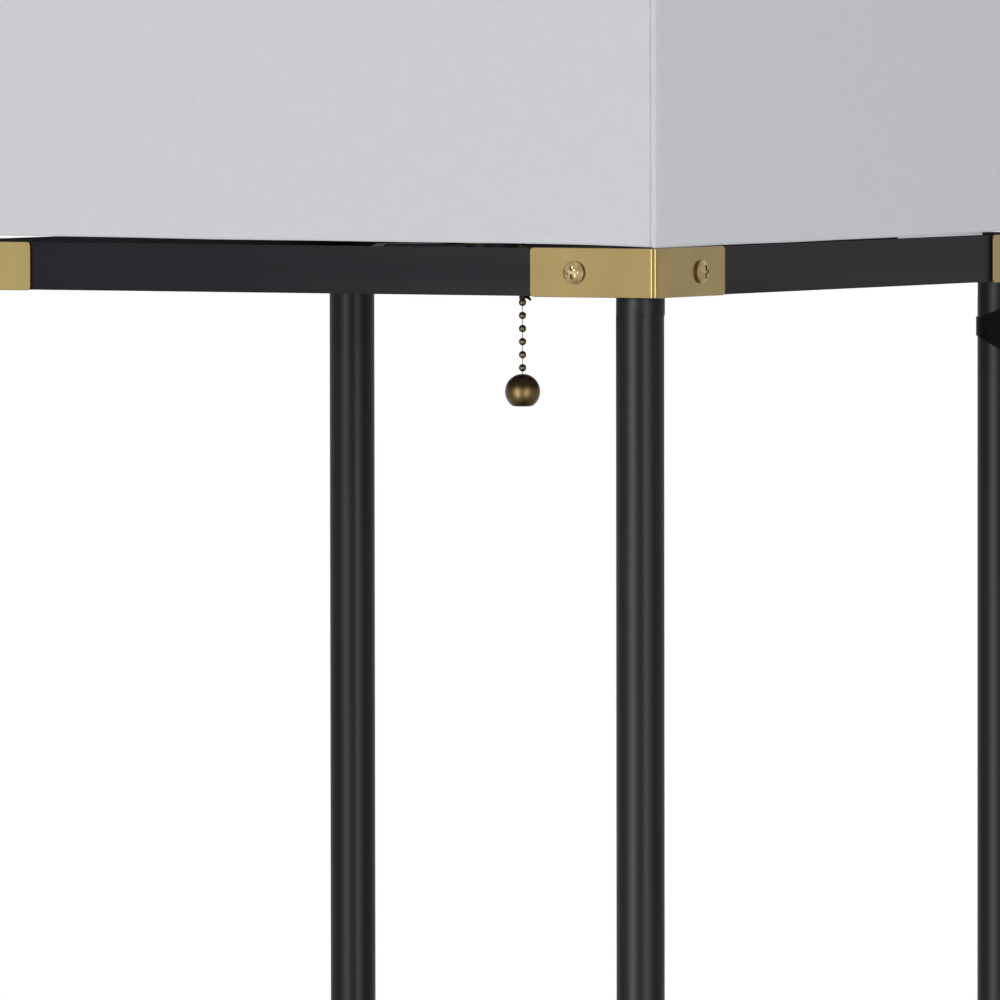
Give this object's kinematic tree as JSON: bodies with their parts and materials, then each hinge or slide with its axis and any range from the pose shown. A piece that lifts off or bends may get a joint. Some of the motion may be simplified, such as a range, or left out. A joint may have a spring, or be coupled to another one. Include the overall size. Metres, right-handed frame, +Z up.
{
  "type": "shelf floor lamp",
  "caption": "Tall square floor lamp with three shelves between round tube legs, brass corner brackets, a square fabric shade and a pull chain switch.",
  "frame": {"origin": "on the floor under the middle of the lamp", "axes": "+Z up; front is -Y and right is +X; the picture's left face is the front and its right face is the right side"},
  "size_m": [0.3046, 0.3993, 1.5892],
  "materials": {
    "powder_coat": "satin black powder coat",
    "powder_coat_tube": "satin black powder coat",
    "satin_brass": "brushed and lacquered",
    "polished_brass": "polished",
    "antique_brass": "antique bronze plating",
    "socket_brass": "polished",
    "contact_brass": "bare",
    "zinc_steel": "zinc plated",
    "black_ash": "black ash grain veneer",
    "black_plastic": "moulded",
    "phenolic": "moulded",
    "linen": "fine off-white linen weave",
    "white_liner": "smooth sheet",
    "white_wire": "white coated wire",
    "bulb_aluminium": "rolled thread",
    "opal_glass": "opal",
    "cord_black": "smooth sheath",
    "plug_black": "moulded",
    "tie_black": "strap"
  },
  "bodies": {
    "lamp": {"lower_shelf_frame": "powder_coat", "lower_shelf_brackets": "satin_brass", "lower_shelf_board": "black_ash", "middle_shelf_frame": "powder_coat", "middle_shelf_brackets": "satin_brass", "middle_shelf_board": "black_ash", "upper_shelf_frame": "powder_coat", "upper_shelf_brackets": "satin_brass", "upper_shelf_board": "black_ash", "top_ring": "powder_coat", "top_ring_brackets": "satin_brass", "bracket_screws": "polished_brass", "foot_leg_front_left": "powder_coat_tube", "foot_leg_front_right": "powder_coat_tube", "foot_leg_back_left": "powder_coat_tube", "foot_leg_back_right": "powder_coat_tube", "lower_leg_front_left": "powder_coat_tube", "lower_leg_front_right": "powder_coat_tube", "lower_leg_back_left": "powder_coat_tube", "lower_leg_back_right": "powder_coat_tube", "middle_leg_front_left": "powder_coat_tube", "middle_leg_front_right": "powder_coat_tube", "middle_leg_back_left": "powder_coat_tube", "middle_leg_back_right": "powder_coat_tube", "upper_leg_front_left": "powder_coat_tube", "upper_leg_front_right": "powder_coat_tube", "upper_leg_back_left": "powder_coat_tube", "upper_leg_back_right": "powder_coat_tube", "foot_pads": "black_plastic", "leg_studs": "zinc_steel", "ring_bolts": "zinc_steel", "socket_crossbar": "powder_coat", "socket_nipple": "zinc_steel", "nipple_nuts": "zinc_steel", "socket_cap": "socket_brass", "socket_shell": "phenolic", "socket_core": "phenolic", "socket_contacts": "contact_brass", "chain_guide": "socket_brass", "shade_ring_nut": "phenolic", "shade_cover": "linen", "shade_liner": "white_liner", "shade_top_wire": "white_wire", "shade_bottom_frame": "white_wire", "bulb_base": "bulb_aluminium", "bulb_globe": "opal_glass", "lamp_cord": "cord_black", "floor_cord": "cord_black", "cord_coil": "cord_black", "plug_body": "plug_black", "plug_blades": "contact_brass", "cord_ties": "tie_black", "coil_tie": "tie_black"},
    "switch": {"switch_lever": "contact_brass"},
    "pull_stem": {"chain_stem": "antique_brass"},
    "pull_upper": {"chain_upper": "antique_brass"},
    "pull_lower": {"chain_lower": "antique_brass", "pull_ball": "antique_brass"}
  },
  "joints": [
    {"name": "chain_pull", "type": "slide", "parent": "lamp", "child": "pull_stem", "axis": [0, 0, -1], "range_m": [0, 0.008], "stiffness_N_per_m": 300},
    {"name": "lever_turn", "type": "hinge", "parent": "lamp", "child": "switch", "pos_m": [0.00473, -0.00369, 1.27343], "axis": [-0.6143, -0.7891, 0], "range_deg": [0, 60.5]},
    {"name": "chain_swing_front_back", "type": "hinge", "parent": "pull_stem", "child": "pull_upper", "pos_m": [0.02367, -0.01843, 1.2585], "axis": [1, 0, 0], "range_deg": [-18, 18]},
    {"name": "chain_swing_side", "type": "hinge", "parent": "pull_upper", "child": "pull_lower", "pos_m": [0.02367, -0.01843, 1.22545], "axis": [0, 1, 0], "range_deg": [-25, 25]}
  ],
  "couplings": [
    {"joint": "lever_turn", "follows": "chain_pull", "rad_per_m": 130.9}
  ]
}
